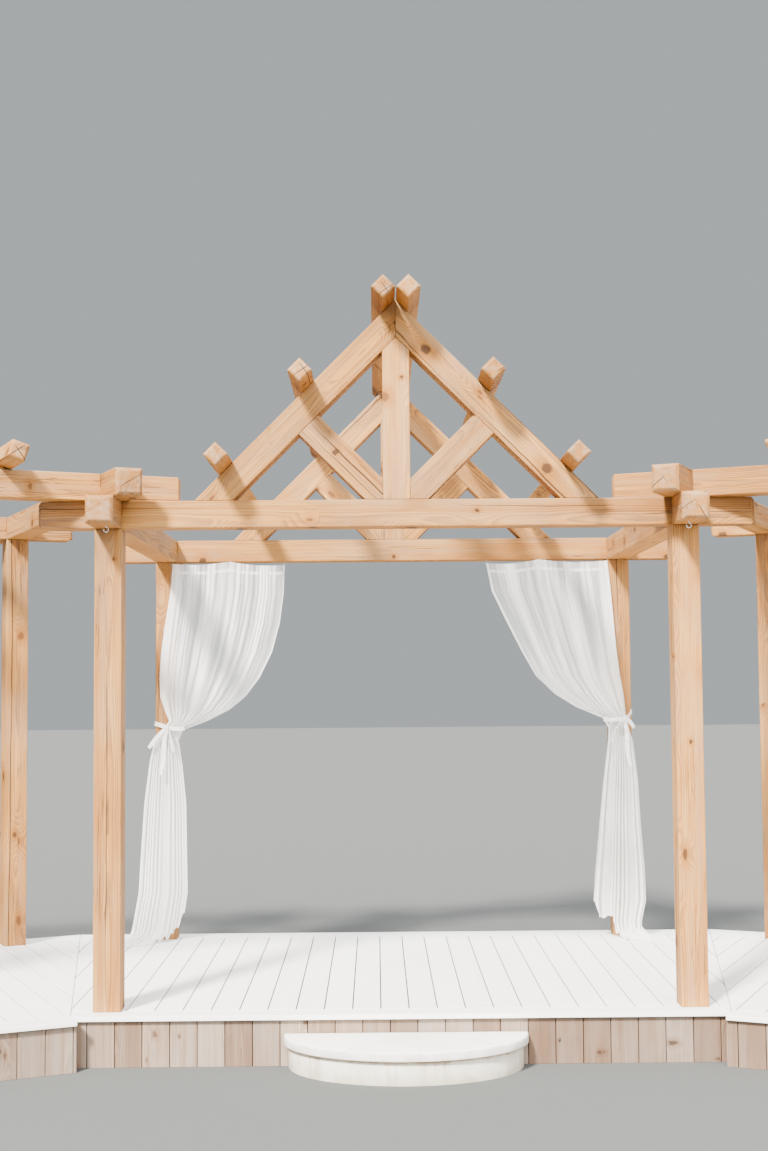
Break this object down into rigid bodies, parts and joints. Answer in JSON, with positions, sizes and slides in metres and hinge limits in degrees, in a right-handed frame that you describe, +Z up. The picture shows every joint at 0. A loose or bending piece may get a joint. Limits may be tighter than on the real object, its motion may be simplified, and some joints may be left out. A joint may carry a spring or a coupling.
{
  "type": "timber chuppah canopy",
  "caption": "Open timber canopy of half-lapped posts and beams, a steep trussed gable and low-gabled wings on a painted deck, with tied-back sheer curtains.",
  "frame": {"origin": "bottom centre of the whole structure, on the ground", "axes": "+X to the right along the front, +Y from front to rear, +Z up; a person looks at the front along +Y"},
  "size_m": [9.7616, 3.9738, 3.9374],
  "materials": {
    "timber": "oiled, weathered",
    "deck_boards": "painted white, satin",
    "skirt_boards": "bare, weathered",
    "step_concrete": "cast, matt",
    "sheer_cloth": "sheer voile"
  },
  "bodies": {
    "root": {"beam_front": "timber", "beam_rear": "timber", "beam_side_left": "timber", "beam_side_right": "timber", "curtain_left": "sheer_cloth", "curtain_right": "sheer_cloth", "deck_centre": "deck_boards", "deck_left": "deck_boards", "deck_right": "deck_boards", "deck_skirt": "skirt_boards", "post_front_left": "timber", "post_front_right": "timber", "post_rear_left": "timber", "post_rear_right": "timber", "purlin_left_low": "timber", "purlin_left_middle": "timber", "purlin_left_ridge": "timber", "purlin_right_low": "timber", "purlin_right_middle": "timber", "purlin_right_ridge": "timber", "step": "step_concrete", "truss_front_king_post": "timber", "truss_front_rafter_left": "timber", "truss_front_rafter_right": "timber", "truss_front_strut_left": "timber", "truss_front_strut_right": "timber", "truss_rear_king_post": "timber", "truss_rear_rafter_left": "timber", "truss_rear_rafter_right": "timber", "truss_rear_strut_left": "timber", "truss_rear_strut_right": "timber", "wing_left_beam_front": "timber", "wing_left_beam_inner": "timber", "wing_left_beam_outer": "timber", "wing_left_beam_rear": "timber", "wing_left_post_inner": "timber", "wing_left_post_outer_front": "timber", "wing_left_post_outer_rear": "timber", "wing_left_purlin_inner": "timber", "wing_left_purlin_outer": "timber", "wing_left_purlin_ridge": "timber", "wing_left_rafter_front_inner": "timber", "wing_left_rafter_front_outer": "timber", "wing_left_rafter_rear_inner": "timber", "wing_left_rafter_rear_outer": "timber", "wing_right_beam_front": "timber", "wing_right_beam_inner": "timber", "wing_right_beam_outer": "timber", "wing_right_beam_rear": "timber", "wing_right_post_inner": "timber", "wing_right_post_outer_front": "timber", "wing_right_post_outer_rear": "timber", "wing_right_purlin_inner": "timber", "wing_right_purlin_outer": "timber", "wing_right_purlin_ridge": "timber", "wing_right_rafter_front_inner": "timber", "wing_right_rafter_front_outer": "timber", "wing_right_rafter_rear_inner": "timber", "wing_right_rafter_rear_outer": "timber"}
  },
  "joints": []
}
